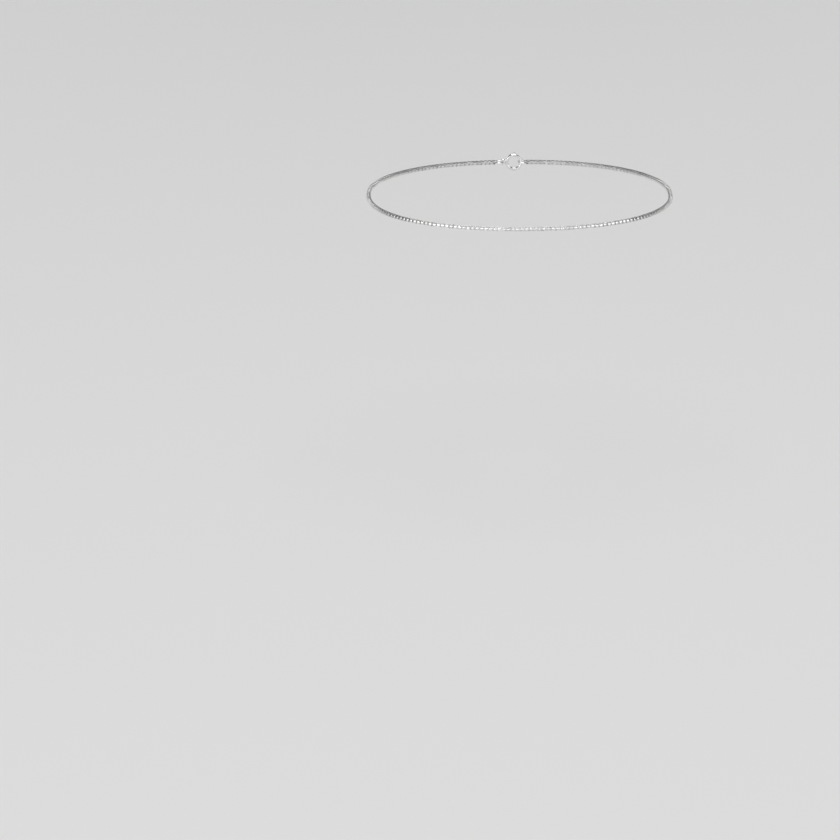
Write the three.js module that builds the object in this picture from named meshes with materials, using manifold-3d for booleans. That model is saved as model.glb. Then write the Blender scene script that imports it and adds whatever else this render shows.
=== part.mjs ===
// A fine silver chain anklet, closed at the back with a spring ring, in the oval it takes when worn.
// Millimetres, +Z up. The origin is the middle of the oval, in the plane of the chain. The front is
// towards -Y and the clasp is at the back, towards +Y.

import * as THREE from 'three';
import { mergeVertices } from 'three/addons/utils/BufferGeometryUtils.js';
import Module from 'manifold-3d';

const DEGREE = Math.PI / 180;

// The oval that the chain's centre line follows: a superellipse, a little fuller than an ellipse
const OVAL_HALF_WIDTH = 45.1;
const OVAL_HALF_DEPTH = 34.2;
const OVAL_EXPONENT = 2.2;

// The box chain: square links of flat strip, every other one a quarter turn round from the last.
// Seen along the chain they make a broad cross, which lies a little rolled.
const LINK_ACROSS = 1.2;
const STRIP_WIDTH = 0.75;
const CHAIN_ROLL = 14 * DEGREE;
const CHAIN_STEPS = 80;

// The clasp: a spring ring of round tube in an upright plane, with a thinner gate across its gap, a
// thumb knob beside the gate, and a small loop for the left end of the chain
const CLASP_RADIUS = 2.2;
const CLASP_TUBE_RADIUS = 0.5;
const GATE_RADIUS = 0.32;
const GATE_START = 24 * DEGREE;
const GATE_END = 72 * DEGREE;
const KNOB_RADIUS = 0.36;
const KNOB_LENGTH = 0.85;
const KNOB_ANGLE = 88 * DEGREE;
const LOOP_RADIUS = 0.75;
const LOOP_WIRE_RADIUS = 0.25;
const LOOP_OVERLAP = 0.15;

// The end rings, of round wire in the plane of the chain, one soldered to each end of it
const END_RING_RADIUS = 1.25;
const END_RING_WIRE_RADIUS = 0.25;
const SOLDER_OVERLAP = 0.35;
const RING_CLEARANCE = 0.2;

const RING_STEPS = 16;
const CLASP_STEPS = 24;
const WIRE_SIDES = 6;
const TUBE_SIDES = 8;

// Where the end rings and the ends of the chain lie along X, worked outwards from the clasp
const END_RING_HOLE = END_RING_RADIUS - END_RING_WIRE_RADIUS;
const END_RING_REACH = END_RING_RADIUS + END_RING_WIRE_RADIUS;
const RIGHT_RING_X = CLASP_RADIUS - CLASP_TUBE_RADIUS - RING_CLEARANCE + END_RING_HOLE;
const LOOP_X = -(CLASP_RADIUS + CLASP_TUBE_RADIUS + LOOP_RADIUS - LOOP_OVERLAP);
const LEFT_RING_X = LOOP_X - LOOP_RADIUS + LOOP_WIRE_RADIUS + RING_CLEARANCE - END_RING_HOLE;
const CHAIN_RIGHT_X = RIGHT_RING_X + END_RING_REACH - SOLDER_OVERLAP;
const CHAIN_LEFT_X = LEFT_RING_X - END_RING_REACH + SOLDER_OVERLAP;

const chainSilver = new THREE.MeshStandardMaterial({ color: 0xd4d4d2, roughness: 0.22, metalness: 1 });
const claspSilver = new THREE.MeshStandardMaterial({ color: 0xcfcfcd, roughness: 0.26, metalness: 1 });

const wasm = await Module();
wasm.setup();

// A closed geometry as a solid, with only its places kept and its shared corners merged
function solidFrom(geometry) {
  const bare = geometry.index ? geometry.toNonIndexed() : geometry.clone();
  bare.deleteAttribute('normal');
  bare.deleteAttribute('uv');
  const merged = mergeVertices(bare, 1e-5);
  return new wasm.Manifold(new wasm.Mesh({
    numProp: 3,
    vertProperties: new Float32Array(merged.attributes.position.array),
    triVerts: new Uint32Array(merged.index.array),
  }));
}

function fuse(geometries) {
  const mesh = geometries.map(solidFrom).reduce((whole, piece) => whole.add(piece)).getMesh();
  const geometry = new THREE.BufferGeometry();
  geometry.setAttribute('position', new THREE.BufferAttribute(mesh.vertProperties, 3));
  geometry.setIndex(new THREE.BufferAttribute(mesh.triVerts, 1));
  geometry.computeVertexNormals();
  return geometry;
}

// The stretch of the oval that is chain, from its right end by way of the front to its left end
class ChainPath extends THREE.Curve {
  getPoint(t, target = new THREE.Vector3()) {
    const start = Math.atan2(OVAL_HALF_DEPTH, CHAIN_RIGHT_X);
    const end = Math.atan2(OVAL_HALF_DEPTH, CHAIN_LEFT_X) - 2 * Math.PI;
    const angle = THREE.MathUtils.lerp(start, end, t);
    const across = Math.abs(Math.cos(angle) / OVAL_HALF_WIDTH) ** OVAL_EXPONENT;
    const along = Math.abs(Math.sin(angle) / OVAL_HALF_DEPTH) ** OVAL_EXPONENT;
    const radius = (across + along) ** (-1 / OVAL_EXPONENT);
    return target.set(radius * Math.cos(angle), radius * Math.sin(angle), 0);
  }
}

// The clasp's tube, from one side of its gap the long way round to the other
class ClaspPath extends THREE.Curve {
  getPoint(t, target = new THREE.Vector3()) {
    const angle = THREE.MathUtils.lerp(GATE_END, GATE_START + 2 * Math.PI, t);
    return target.set(CLASP_RADIUS * Math.cos(angle), CLASP_RADIUS * Math.sin(angle), 0);
  }
}

// The outline round the cross of two neighbouring links
function chainSection() {
  const corners = [];
  for (let side = 0; side < 4; side++) {
    const turn = CHAIN_ROLL + side * 90 * DEGREE;
    for (const edge of [-STRIP_WIDTH / 2, STRIP_WIDTH / 2]) {
      corners.push(new THREE.Vector2(LINK_ACROSS / 2, edge).rotateAround(new THREE.Vector2(), turn));
    }
  }
  return new THREE.Shape(corners);
}

function roundSection(radius, sides) {
  const corners = [];
  for (let side = 0; side < sides; side++) {
    const turn = (side + 0.5) * 2 * Math.PI / sides;
    corners.push(new THREE.Vector2(radius * Math.cos(turn), radius * Math.sin(turn)));
  }
  return new THREE.Shape(corners);
}

function sweep(section, path, steps) {
  return new THREE.ExtrudeGeometry(section, { steps, extrudePath: path });
}

function endRing(x) {
  const ring = new THREE.TorusGeometry(END_RING_RADIUS, END_RING_WIRE_RADIUS, WIRE_SIDES, RING_STEPS);
  return ring.translate(x, OVAL_HALF_DEPTH, 0);
}

function makeChain() {
  const stretch = sweep(chainSection(), new ChainPath(), CHAIN_STEPS);
  const chain = new THREE.Mesh(fuse([stretch, endRing(RIGHT_RING_X), endRing(LEFT_RING_X)]), chainSilver);
  chain.name = 'chain';
  return chain;
}

// The clasp is drawn lying in the XY plane round its own middle, and stood upright as a mesh
function makeClasp() {
  const tube = sweep(roundSection(CLASP_TUBE_RADIUS, TUBE_SIDES), new ClaspPath(), CLASP_STEPS);
  const gate = new THREE.TorusGeometry(CLASP_RADIUS, GATE_RADIUS, WIRE_SIDES, CLASP_STEPS);
  const knob = new THREE.CylinderGeometry(KNOB_RADIUS, KNOB_RADIUS, KNOB_LENGTH, TUBE_SIDES);
  knob.translate(0, CLASP_RADIUS + KNOB_LENGTH / 2, 0);
  knob.rotateZ(KNOB_ANGLE - 90 * DEGREE);
  const loop = new THREE.TorusGeometry(LOOP_RADIUS, LOOP_WIRE_RADIUS, WIRE_SIDES, RING_STEPS);
  loop.translate(LOOP_X, 0, 0);
  const clasp = new THREE.Mesh(fuse([tube, gate, knob, loop]), claspSilver);
  clasp.name = 'clasp';
  clasp.position.set(0, OVAL_HALF_DEPTH, 0);
  clasp.rotation.x = 90 * DEGREE;
  return clasp;
}

const anklet = new THREE.Group();
anklet.add(makeChain(), makeClasp());

export default anklet;
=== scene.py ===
import math
from collections import namedtuple

import bpy
import numpy as np
from mathutils import Matrix, Vector


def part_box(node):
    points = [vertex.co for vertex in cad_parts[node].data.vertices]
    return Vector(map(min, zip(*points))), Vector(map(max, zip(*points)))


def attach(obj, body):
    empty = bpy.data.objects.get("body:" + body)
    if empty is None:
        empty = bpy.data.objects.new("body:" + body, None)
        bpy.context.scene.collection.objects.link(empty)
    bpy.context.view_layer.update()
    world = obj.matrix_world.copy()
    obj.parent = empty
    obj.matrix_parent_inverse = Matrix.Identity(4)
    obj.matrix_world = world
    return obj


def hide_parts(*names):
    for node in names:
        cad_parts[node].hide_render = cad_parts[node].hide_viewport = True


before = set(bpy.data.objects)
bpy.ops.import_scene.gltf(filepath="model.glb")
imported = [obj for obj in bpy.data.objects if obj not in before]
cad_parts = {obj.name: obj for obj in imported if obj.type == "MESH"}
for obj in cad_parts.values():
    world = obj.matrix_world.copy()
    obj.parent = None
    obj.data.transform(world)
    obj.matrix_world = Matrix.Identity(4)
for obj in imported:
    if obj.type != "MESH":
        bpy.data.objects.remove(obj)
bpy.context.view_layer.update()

# A fine silver box-chain anklet. Metres, in the frame of the CAD model: the origin is the middle of
# the chain's oval, the front is towards -Y and the clasp is at the back.

MM = 0.001
SEED = 11
CREASE = math.radians(50)

# The oval of the chain's middle line, a superellipse. Its size comes from the frame.
OVAL_EXPONENT = 2.2
OVAL_SAMPLES = 12000

# One link of the box chain: flat strip bent into a square ring, its edges and bends rounded
LINK_PITCH = 0.65 * MM
LINK_ACROSS = 1.2 * MM
STRIP_WIDTH = 0.75 * MM
STRIP_THICKNESS = 0.17 * MM
LINK_PLAY = 0.05 * MM
LINK_LENGTH = LINK_PITCH + 2 * STRIP_THICKNESS + LINK_PLAY
BEND_RADIUS = 0.16 * MM
INNER_BEND_RADIUS = 0.03 * MM
BEND_STEPS = 3
EDGE_RADIUS = 0.045 * MM
EDGE_STEPS = 2

# How the chain lies: its cross a little rolled, and no link quite as its neighbours
CHAIN_ROLL = math.radians(14)
ROLL_JITTER = math.radians(1.3)
TILT_JITTER = math.radians(0.5)

# The end rings and the solder that holds them to the last links
END_RING_RADIUS = 1.25 * MM
END_RING_WIRE = 0.25 * MM
END_RING_STEPS = 64
WIRE_SIDES = 16
RING_CLEARANCE = 0.2 * MM
SOLDER_RADIUS = 0.42 * MM
SOLDER_SQUASH = 0.8
SOLDER_STEPS = 12
SOLDER_SIDES = 20
SOLDER_OVERLAP = 0.35 * MM

# The spring ring: a tube with a gap, a thinner gate across the gap, a thumb knob and a loop
CLASP_RADIUS = 2.2 * MM
CLASP_TUBE = 0.5 * MM
TUBE_END_EDGE = 0.12 * MM
TUBE_ROWS = 80
TUBE_SIDES = 24
RIM_STEPS = 4
GATE_WIRE = 0.32 * MM
GATE_END_EDGE = 0.3 * GATE_WIRE
GATE_ROWS = 24
GATE_START = math.radians(24)
GATE_END = math.radians(72)
GATE_OVERLAP = math.radians(8)
LOOP_RADIUS = 0.75 * MM
LOOP_WIRE = 0.25 * MM
LOOP_STEPS = 48
LOOP_OVERLAP = 0.15 * MM

# The thumb knob: a head with rounded edges, which narrows over a shoulder to its neck
KNOB_ANGLE = math.radians(88)
KNOB_LENGTH = 0.85 * MM
KNOB_RADIUS = 0.36 * MM
KNOB_HEAD = 0.9 * KNOB_RADIUS
KNOB_NECK = 0.24 * MM
KNOB_EDGE = 0.35 * KNOB_RADIUS
KNOB_SHOULDER = 0.6 * KNOB_EDGE
KNOB_TOP_STEPS = 4
KNOB_LOWER_DEGREES = 60
KNOB_LOWER_STEPS = 3
KNOB_SIDES = 24

# Silver: its tint and roughness where it is polished, and how bright and rough it is beside that
# where it is dull or darkened by painted shade
CHAIN_TINT = (0.93, 0.93, 0.925)
CHAIN_ROUGHNESS = 0.1
CLASP_TINT = (0.92, 0.92, 0.915)
CLASP_ROUGHNESS = 0.12
DULL_AND_SHADED_BRIGHTNESS = 0.45
DULL_ROUGHNESS = 0.22

# The silver's patterns: uneven polish in clouds, fine grain, and slanting scratches. Scales are per
# metre, and a span is the stretch of a pattern's values that counts.
CLOUD_SCALE = 900
CLOUD_DETAIL = 3
CLOUD_SPAN = (0.35, 0.7)
CLOUD_DULLNESS = 0.35
GRAIN_SCALE = 9000
GRAIN_DETAIL = 4
GRAIN_SPAN = (0.3, 0.7)
GRAIN_ROUGHNESS = 0.08
CHAIN_SCRATCH_SCALE = 2500
CLASP_SCRATCH_SCALE = 1500
SCRATCH_DETAIL = 5
SCRATCH_SQUEEZE = (1, 1, 9)
SCRATCH_TURN = (0.5, 0.3, 0.9)
SCRATCH_STRENGTH = 0.12
SCRATCH_DEPTH = 0.004 * MM

# How much duller a link is on its inner faces, where it is painted darker as shade inside the chain, and how
# much the dullest link is beside the brightest
INSIDE_SPAN = (0.3, 1.0)
INSIDE_SHADE_AND_DULLNESS = 0.5
TONE_DULLNESS = 0.25

# The photograph's view: its size in pixels, the pixel of the oval's middle, and the scale there. The
# camera's sensor is in millimetres.
PHOTO_SIZE = 840
OVAL_PIXEL = (519.5, 194.7)
PIXEL = 0.2988 * MM
AZIMUTH = math.radians(-1.5)
ELEVATION = math.radians(17)
FIELD_OF_VIEW = math.radians(12)
SENSOR_WIDTH = 36

# The studio: a round seamless backdrop of paper, pale on its floor, that curves up into a greyer wall
FLOOR_Z = -85 * MM
PALE_RADIUS = 0.75
FLOOR_RADIUS = 1.7
SWEEP_RADIUS = 0.8
SWEEP_STEPS = 16
WALL_TOP = 1.3
STUDIO_SIDES = 96
FLOOR_COLOUR = (0.8, 0.8, 0.8)
WALL_COLOUR = (0.24, 0.24, 0.24)
PAPER_ROUGHNESS = 0.9
PAPER_SPECULAR = 0.1
ROOM_LIGHT = (0.16, 0.16, 0.16)

# The softboxes, which all face the anklet. Azimuth is in degrees from the front towards the right,
# elevation in degrees above level, and radiance is how bright a softbox is whatever its size.
Softbox = namedtuple("Softbox", "name azimuth elevation distance width height radiance")
SOFTBOXES = [
    Softbox("key_light", -46, 12, 1.1, 1.15, 0.45, 1.6),
    Softbox("fill_light", 48, 12, 1.1, 1.0, 0.45, 1.4),
    Softbox("front_light", 0, 14, 1.25, 0.75, 0.4, 1.5),
    Softbox("back_left_light", -142, 14, 1.2, 0.75, 0.4, 1.5),
    Softbox("back_right_light", 142, 14, 1.2, 0.75, 0.4, 1.5),
    Softbox("top_light", 0, 88, 1.6, 1.2, 1.2, 4.0),
]

# The size of the oval: the chain's size in the frame, less what its cross reaches out from its middle
chain_low, chain_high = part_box("chain")
CHAIN_REACH = (LINK_ACROSS * math.cos(CHAIN_ROLL) + STRIP_WIDTH * math.sin(CHAIN_ROLL)) / 2
HALF_WIDTH = (chain_high.x - chain_low.x) / 2 - CHAIN_REACH
HALF_DEPTH = -chain_low.y - CHAIN_REACH

# Where the end rings and the ends of the chain lie along X, worked outwards from the clasp
END_RING_HOLE = END_RING_RADIUS - END_RING_WIRE
END_RING_REACH = END_RING_RADIUS + END_RING_WIRE
RIGHT_RING_X = CLASP_RADIUS - CLASP_TUBE - RING_CLEARANCE + END_RING_HOLE
LOOP_X = -(CLASP_RADIUS + CLASP_TUBE + LOOP_RADIUS - LOOP_OVERLAP)
LEFT_RING_X = LOOP_X - LOOP_RADIUS + LOOP_WIRE + RING_CLEARANCE - END_RING_HOLE
CHAIN_RIGHT_X = RIGHT_RING_X + END_RING_REACH - SOLDER_OVERLAP
CHAIN_LEFT_X = LEFT_RING_X - END_RING_REACH + SOLDER_OVERLAP


# Outlines, and closed shapes as (points, faces)

def arc(centre, radius, first, last, steps):
    """Points of an arc, angles in degrees."""
    angles = np.radians(np.linspace(first, last, steps + 1))
    return [(centre[0] + radius * math.cos(angle), centre[1] + radius * math.sin(angle)) for angle in angles]


def rounded_rectangle(width, height, radius, steps):
    """Corner arcs of a rectangle round the origin, anticlockwise."""
    x = width / 2 - radius
    y = height / 2 - radius
    outline = []
    for quarter, centre in enumerate([(x, y), (-x, y), (-x, -y), (x, -y)]):
        outline += arc(centre, radius, quarter * 90, quarter * 90 + 90, steps)
    return outline


def ring_faces(rows, columns):
    """Faces of a closed grid of rows and columns that wraps both ways."""
    return [
        (
            row * columns + column,
            (row + 1) % rows * columns + column,
            (row + 1) % rows * columns + (column + 1) % columns,
            row * columns + (column + 1) % columns,
        )
        for row in range(rows)
        for column in range(columns)
    ]


def capped_faces(rows, columns):
    """Faces of a closed skin: a pole, rows of points that run round it, and a second pole."""
    last = rows * columns + 1
    faces = []
    for column in range(columns):
        after = (column + 1) % columns
        faces.append((0, 1 + column, 1 + after))
        faces.append((last, last - columns + after, last - columns + column))
        for row in range(rows - 1):
            here = 1 + row * columns
            faces.append((here + column, here + columns + column, here + columns + after, here + after))
    return faces


def lathe(profile, columns):
    """A turned shape round Z, closed at two poles, that faces out if its profile runs downwards."""
    points = [(0, 0, profile[0][1])]
    for radius, height in profile:
        for column in range(columns):
            turn = 2 * math.pi * column / columns
            points.append((radius * math.cos(turn), radius * math.sin(turn), height))
    points.append((0, 0, profile[-1][1]))
    return np.array(points), capped_faces(len(profile), columns)


def torus(centre, first_way, second_way, radius, steps, wire):
    """A ring of round wire in the plane of two ways that are square to each other."""
    first_way = np.array(first_way, float)
    second_way = np.array(second_way, float)
    axis = np.cross(first_way, second_way)
    points = []
    for turn in np.linspace(0, 2 * math.pi, steps, endpoint=False):
        out = math.cos(turn) * first_way + math.sin(turn) * second_way
        for side in np.linspace(0, 2 * math.pi, WIRE_SIDES, endpoint=False):
            across = math.cos(side) * out + math.sin(side) * axis
            points.append(np.array(centre) + radius * out + wire * across)
    return np.array(points), ring_faces(steps, WIRE_SIDES)


def fused(shapes):
    """One closed skin round several closed shapes that overlap, worked out in millimetres."""
    solids = []
    for points, faces in shapes:
        mesh = bpy.data.meshes.new("fusing")
        mesh.from_pydata((np.asarray(points) / MM).tolist(), [], faces)
        solids.append(bpy.data.objects.new("fusing", mesh))
        bpy.context.scene.collection.objects.link(solids[-1])
    for other in solids[1:]:
        union = solids[0].modifiers.new("union", "BOOLEAN")
        union.operation = "UNION"
        union.solver = "EXACT"
        union.object = other
    whole = solids[0].evaluated_get(bpy.context.evaluated_depsgraph_get()).to_mesh()
    points = np.array([vertex.co for vertex in whole.vertices]) * MM
    faces = [tuple(face.vertices) for face in whole.polygons]
    for solid in solids:
        bpy.data.objects.remove(solid)
    return points, faces


# Objects

def add_mesh(name, shape, material):
    """A smooth mesh object in the scene."""
    points, faces = shape
    mesh = bpy.data.meshes.new(name)
    mesh.from_pydata(points.tolist(), [], faces)
    mesh.shade_smooth()
    mesh.materials.append(material)
    mesh_object = bpy.data.objects.new(name, mesh)
    bpy.context.scene.collection.objects.link(mesh_object)
    return mesh_object


def add_piece(name, shape, material, attributes=None):
    """A piece of the anklet, with its creases kept sharp, that rides on the anklet's one body."""
    piece = add_mesh(name, shape, material)
    for attribute, values in (attributes or {}).items():
        layer = piece.data.attributes.new(attribute, "FLOAT", "POINT")
        layer.data.foreach_set("value", values.astype(np.float32))
    piece.data.set_sharp_from_angle(angle=CREASE)
    weighted = piece.modifiers.new("flat_faces_stay_flat", "WEIGHTED_NORMAL")
    weighted.keep_sharp = True
    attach(piece, "root")
    return piece


# The chain

def chain_line():
    """Points from the chain's right end by way of the front to its left end, and the length up to each."""
    start = math.atan2(HALF_DEPTH, CHAIN_RIGHT_X)
    end = math.atan2(HALF_DEPTH, CHAIN_LEFT_X) - 2 * math.pi
    angle = np.linspace(start, end, OVAL_SAMPLES)
    across = np.abs(np.cos(angle) / HALF_WIDTH) ** OVAL_EXPONENT
    along = np.abs(np.sin(angle) / HALF_DEPTH) ** OVAL_EXPONENT
    radius = (across + along) ** (-1 / OVAL_EXPONENT)
    points = np.stack([radius * np.cos(angle), radius * np.sin(angle), np.zeros_like(angle)], axis=1)
    steps = np.linalg.norm(np.diff(points, axis=0), axis=1)
    return points, np.concatenate([[0.0], np.cumsum(steps)])


def unit(ways):
    """The same ways, each made one long."""
    return ways / np.linalg.norm(ways, axis=1, keepdims=True)


def link_places():
    """The middle of every link, evenly spaced along the chain, and the way that the chain runs there."""
    line, lengths = chain_line()
    count = round((lengths[-1] - LINK_LENGTH) / LINK_PITCH) + 1
    places = np.linspace(LINK_LENGTH / 2, lengths[-1] - LINK_LENGTH / 2, count)
    centres = [np.interp(places, lengths, line[:, axis]) for axis in range(3)]
    forward = [np.interp(places, lengths, np.gradient(line[:, axis])) for axis in range(3)]
    return np.stack(centres, axis=1), unit(np.stack(forward, axis=1))


def link_ways(forward, chance):
    """Each link's length, width and height ways, every other one a quarter turn round and none quite true."""
    count = len(forward)
    upward = np.tile([0.0, 0.0, 1.0], (count, 1))
    sideways = np.cross(upward, forward)
    roll = CHAIN_ROLL + np.arange(count) % 2 * math.pi / 2
    roll += chance.normal(0, ROLL_JITTER, count)
    tilt = chance.normal(0, TILT_JITTER, (count, 2))
    forward = unit(forward + (tilt[:, :1] * sideways + tilt[:, 1:] * upward))
    sideways = unit(np.cross(upward, forward))
    upward = np.cross(forward, sideways)
    width_way = np.cos(roll)[:, None] * sideways + np.sin(roll)[:, None] * upward
    height_way = -np.sin(roll)[:, None] * sideways + np.cos(roll)[:, None] * upward
    return np.stack([forward, width_way, height_way], axis=1)


def link_shape():
    """A link round the origin, long along X, its strip's width along Y, and how deep each point lies."""
    section = rounded_rectangle(STRIP_THICKNESS, STRIP_WIDTH, EDGE_RADIUS, EDGE_STEPS)
    points = []
    depths = []
    for across, along in section:
        inset = STRIP_THICKNESS / 2 - across
        corner = max(BEND_RADIUS - inset, INNER_BEND_RADIUS)
        outline = rounded_rectangle(LINK_LENGTH - 2 * inset, LINK_ACROSS - 2 * inset, corner, BEND_STEPS)
        points += [(x, along, z) for x, z in outline]
        depths += [inset / STRIP_THICKNESS] * len(outline)
    return np.array(points), ring_faces(len(section), len(outline)), np.array(depths)


def chain_shape():
    """Every link of the chain in its place, with how deep each point lies and a tone for each link."""
    link, faces, depths = link_shape()
    centres, forward = link_places()
    count = len(centres)
    chance = np.random.default_rng(SEED)
    ways = link_ways(forward, chance)
    points = centres[:, None, :] + np.einsum("pk,nkc->npc", link, ways)
    starts = np.arange(count)[:, None, None] * len(link)
    all_faces = (np.array(faces)[None] + starts).reshape(-1, 4)
    attributes = {
        "depth": np.tile(depths, count),
        "tone": np.repeat(chance.random(count), len(link)),
    }
    return (points.reshape(-1, 3), all_faces.tolist()), attributes


def end_ring_shape(x, chain_side):
    """An end ring with the drop of solder that holds it to the last link. chain_side is 1 or -1, along X."""
    ring = torus((x, HALF_DEPTH, 0), (1, 0, 0), (0, 1, 0), END_RING_RADIUS, END_RING_STEPS, END_RING_WIRE)
    polar = np.linspace(0, math.pi, SOLDER_STEPS + 1)[1:-1]
    profile = [(SOLDER_RADIUS * math.sin(angle), SOLDER_RADIUS * math.cos(angle)) for angle in polar]
    drop, faces = lathe(profile, SOLDER_SIDES)
    joint = np.array([x + chain_side * END_RING_REACH, HALF_DEPTH, 0])
    return fused([ring, (drop * np.array([SOLDER_SQUASH, 1, 1]) + joint, faces)])


# The clasp

def ring_stretch(start, end, radius, edge, rows):
    """A closed stretch of round tube along the clasp's ring, its two ends turned over with a rounded edge."""
    lean = edge / CLASP_RADIUS
    rim = []
    for angle in np.linspace(0, math.pi / 2, RIM_STEPS + 1):
        rim.append((lean * (1 - math.cos(angle)), radius - edge * (1 - math.sin(angle))))
    profile = [(start + along, size) for along, size in rim]
    profile += [(turn, radius) for turn in np.linspace(start + lean, end - lean, rows)[1:-1]]
    profile += [(end - along, size) for along, size in reversed(rim)]
    points = []
    for turn, size in [(start, 0)] + profile + [(end, 0)]:
        out = np.array([math.cos(turn), 0, math.sin(turn)])
        for side in np.linspace(0, 2 * math.pi, TUBE_SIDES if size else 1, endpoint=False):
            sideways = np.array([0, size * math.sin(side), 0])
            points.append((CLASP_RADIUS + size * math.cos(side)) * out - sideways)
    return np.array(points) + np.array([0, HALF_DEPTH, 0]), capped_faces(len(profile), TUBE_SIDES)


def knob_shape():
    """The thumb knob: turned upright above the clasp's middle, then leant to its place beside the gate."""
    top = CLASP_RADIUS + KNOB_LENGTH
    shoulder = top - KNOB_HEAD
    middle = KNOB_RADIUS - KNOB_EDGE
    lower_centre = (middle, shoulder + KNOB_SHOULDER)
    profile = arc((middle, top - KNOB_EDGE), KNOB_EDGE, 90, 0, KNOB_TOP_STEPS)
    profile += arc(lower_centre, KNOB_EDGE, 0, -KNOB_LOWER_DEGREES, KNOB_LOWER_STEPS)
    profile += [(KNOB_NECK, shoulder - KNOB_SHOULDER), (KNOB_NECK, CLASP_RADIUS)]
    points, faces = lathe(profile, KNOB_SIDES)
    lean = Matrix.Rotation(math.pi / 2 - KNOB_ANGLE, 3, "Y")
    return points @ np.array(lean).T + np.array([0, HALF_DEPTH, 0]), faces


def clasp_shape():
    """The whole spring ring as one closed skin, upright at the back of the oval."""
    tube = ring_stretch(GATE_END, GATE_START + 2 * math.pi, CLASP_TUBE, TUBE_END_EDGE, TUBE_ROWS)
    gate_from = GATE_START - GATE_OVERLAP
    gate_to = GATE_END + GATE_OVERLAP
    gate = ring_stretch(gate_from, gate_to, GATE_WIRE, GATE_END_EDGE, GATE_ROWS)
    loop = torus((LOOP_X, HALF_DEPTH, 0), (1, 0, 0), (0, 0, 1), LOOP_RADIUS, LOOP_STEPS, LOOP_WIRE)
    return fused([tube, gate, knob_shape(), loop])


# Materials

def start_material(name):
    """A new material, its node tree and its shader."""
    material = bpy.data.materials.new(name)
    material.use_nodes = True
    return material, material.node_tree, material.node_tree.nodes["Principled BSDF"]


def noise(tree, place, scale, detail):
    """A soft random pattern."""
    texture = tree.nodes.new("ShaderNodeTexNoise")
    texture.inputs["Scale"].default_value = scale
    texture.inputs["Detail"].default_value = detail
    tree.links.new(place, texture.inputs["Vector"])
    return texture.outputs["Fac"]


def ramp(tree, value, span, results, interpolation="LINEAR"):
    """The results that a value runs through as it crosses its span, held at both ends."""
    change = tree.nodes.new("ShaderNodeMapRange")
    change.interpolation_type = interpolation
    change.inputs["From Min"].default_value = span[0]
    change.inputs["From Max"].default_value = span[1]
    change.inputs["To Min"].default_value = results[0]
    change.inputs["To Max"].default_value = results[1]
    tree.links.new(value, change.inputs["Value"])
    return change.outputs["Result"]


def total(tree, first, second):
    """The sum of two values."""
    addition = tree.nodes.new("ShaderNodeMath")
    addition.operation = "ADD"
    tree.links.new(first, addition.inputs[0])
    tree.links.new(second, addition.inputs[1])
    return addition.outputs["Value"]


def mixed_colour(tree, share, first, second):
    """The first colour where the share is 0, the second where it is 1."""
    mix = tree.nodes.new("ShaderNodeMix")
    mix.data_type = "RGBA"
    mix.inputs["A"].default_value = (*first, 1)
    mix.inputs["B"].default_value = (*second, 1)
    tree.links.new(share, mix.inputs["Factor"])
    return mix.outputs["Result"]


def link_attribute(tree, name):
    """A value that every point of the chain carries."""
    attribute = tree.nodes.new("ShaderNodeAttribute")
    attribute.attribute_name = name
    return attribute.outputs["Fac"]


def silver_material(name, tint, roughness, scratch_scale, has_links):
    """Polished silver: fine handling scratches, uneven polish, and on the chain painted shade that darkens
    and roughens each link's inner faces.
    """
    material, tree, shader = start_material(name)
    shader.inputs["Metallic"].default_value = 1.0
    place = tree.nodes.new("ShaderNodeTexCoord").outputs["Object"]

    clouds = noise(tree, place, CLOUD_SCALE, CLOUD_DETAIL)
    dullness_and_shade = ramp(tree, clouds, CLOUD_SPAN, (0, CLOUD_DULLNESS))
    if has_links:
        # painted shade: each link's colour darkens towards its inner faces, where shade falls inside the
        # chain, and it is rougher there
        inside_shade_and_dullness = ramp(tree, link_attribute(tree, "depth"), INSIDE_SPAN, (0, INSIDE_SHADE_AND_DULLNESS))
        tone = ramp(tree, link_attribute(tree, "tone"), (0, 1), (0, TONE_DULLNESS))
        dullness_and_shade = total(tree, total(tree, dullness_and_shade, inside_shade_and_dullness), tone)
    # the dark tint serves both the dull patches of polish and the painted shade inside the links
    dull_and_shaded_tint = [part * DULL_AND_SHADED_BRIGHTNESS for part in tint]
    tree.links.new(mixed_colour(tree, dullness_and_shade, tint, dull_and_shaded_tint), shader.inputs["Base Color"])

    worn = ramp(tree, dullness_and_shade, (0, 1), (roughness, roughness + DULL_ROUGHNESS))
    grain = ramp(tree, noise(tree, place, GRAIN_SCALE, GRAIN_DETAIL), GRAIN_SPAN, (0, GRAIN_ROUGHNESS))
    tree.links.new(total(tree, worn, grain), shader.inputs["Roughness"])

    slanted = tree.nodes.new("ShaderNodeMapping")
    slanted.inputs["Scale"].default_value = SCRATCH_SQUEEZE
    slanted.inputs["Rotation"].default_value = SCRATCH_TURN
    tree.links.new(place, slanted.inputs["Vector"])
    scratches = noise(tree, slanted.outputs["Vector"], scratch_scale, SCRATCH_DETAIL)
    bump = tree.nodes.new("ShaderNodeBump")
    bump.inputs["Strength"].default_value = SCRATCH_STRENGTH
    bump.inputs["Distance"].default_value = SCRATCH_DEPTH
    tree.links.new(scratches, bump.inputs["Height"])
    tree.links.new(bump.outputs["Normal"], shader.inputs["Normal"])
    return material


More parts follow.
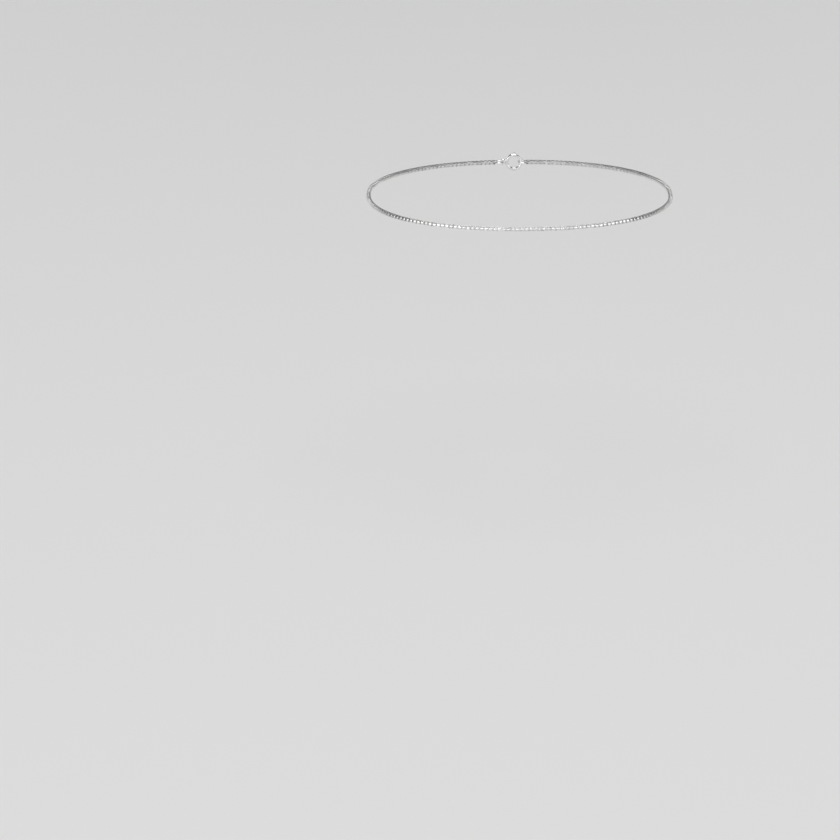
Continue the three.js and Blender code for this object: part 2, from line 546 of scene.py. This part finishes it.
def paper_material():
    """Paper that is pale on the floor and grows greyer towards the wall, as graduated paper does."""
    material, tree, shader = start_material("studio_paper")
    shader.inputs["Roughness"].default_value = PAPER_ROUGHNESS
    shader.inputs["Specular IOR Level"].default_value = PAPER_SPECULAR
    distance = tree.nodes.new("ShaderNodeVectorMath")
    distance.operation = "LENGTH"
    tree.links.new(tree.nodes.new("ShaderNodeTexCoord").outputs["Object"], distance.inputs[0])
    fade = ramp(tree, distance.outputs["Value"], (PALE_RADIUS, FLOOR_RADIUS), (0, 1), "SMOOTHSTEP")
    tree.links.new(mixed_colour(tree, fade, FLOOR_COLOUR, WALL_COLOUR), shader.inputs["Base Color"])
    return material


# The studio

def add_backdrop():
    """A turned bowl of paper: a flat floor, a sweep and a wall, open at the top."""
    flat_radius = FLOOR_RADIUS - SWEEP_RADIUS
    profile = [(flat_radius, FLOOR_Z)]
    profile += arc((flat_radius, FLOOR_Z + SWEEP_RADIUS), SWEEP_RADIUS, -90, 0, SWEEP_STEPS)
    profile += [(FLOOR_RADIUS, WALL_TOP)]
    points, faces = lathe(profile, STUDIO_SIDES)
    top_pole = len(points) - 1
    open_faces = [face for face in faces if top_pole not in face]
    backdrop = add_mesh("studio_floor", (points[:-1], open_faces), paper_material())


def add_softbox(softbox):
    """An even panel of light that faces the anklet."""
    light = bpy.data.lights.new(softbox.name, "AREA")
    light.shape = "RECTANGLE"
    light.size = softbox.width
    light.size_y = softbox.height
    light.energy = softbox.radiance * math.pi * softbox.width * softbox.height
    azimuth = math.radians(softbox.azimuth)
    elevation = math.radians(softbox.elevation)
    level = softbox.distance * math.cos(elevation)
    height = softbox.distance * math.sin(elevation)
    place = Vector((level * math.sin(azimuth), -level * math.cos(azimuth), height))
    lamp = bpy.data.objects.new(softbox.name, light)
    lamp.location = place
    lamp.rotation_euler = (-place).to_track_quat("-Z", "Y").to_euler()
    bpy.context.scene.collection.objects.link(lamp)


def add_lights():
    """The softboxes, and an even dim light from the room round them."""
    world = bpy.data.worlds.new("studio_world")
    world.use_nodes = True
    world.node_tree.nodes["Background"].inputs["Color"].default_value = (*ROOM_LIGHT, 1)
    bpy.context.scene.world = world
    for softbox in SOFTBOXES:
        add_softbox(softbox)


def add_camera():
    """The photograph's camera, placed and tilted so that the oval's middle falls on its own pixel."""
    half = math.tan(FIELD_OF_VIEW / 2)
    centre = PHOTO_SIZE / 2
    distance = centre * PIXEL / half
    right_part = (OVAL_PIXEL[0] - centre) / centre * half
    up_part = (centre - OVAL_PIXEL[1]) / centre * half
    down = ELEVATION + math.atan(up_part)
    turn = Matrix.Rotation(AZIMUTH, 3, "Z")
    forward = turn @ Vector((0, math.cos(down), -math.sin(down)))
    right = turn @ Vector((1, 0, 0))
    up = right.cross(forward)
    data = bpy.data.cameras.new("camera")
    data.sensor_width = SENSOR_WIDTH
    data.lens = SENSOR_WIDTH / 2 / half
    camera = bpy.data.objects.new("camera", data)
    camera.rotation_mode = "QUATERNION"
    camera.rotation_quaternion = Matrix((right, up, -forward)).transposed().to_quaternion()
    camera.location = -distance * (forward + right_part * right + up_part * up)
    bpy.context.scene.collection.objects.link(camera)
    bpy.context.scene.camera = camera
    bpy.context.scene.view_settings.view_transform = "Standard"


add_camera()

chain_silver = silver_material("chain_silver", CHAIN_TINT, CHAIN_ROUGHNESS, CHAIN_SCRATCH_SCALE, True)
clasp_silver = silver_material("clasp_silver", CLASP_TINT, CLASP_ROUGHNESS, CLASP_SCRATCH_SCALE, False)

shape, attributes = chain_shape()
chain_piece = add_piece("box_chain", shape, chain_silver, attributes)
right_ring = add_piece("end_ring_right", end_ring_shape(RIGHT_RING_X, 1), clasp_silver)
left_ring = add_piece("end_ring_left", end_ring_shape(LEFT_RING_X, -1), clasp_silver)
for piece in (chain_piece, right_ring, left_ring):
    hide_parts("chain")
clasp_piece = add_piece("spring_ring", clasp_shape(), clasp_silver)
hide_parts("clasp")

add_backdrop()
add_lights()
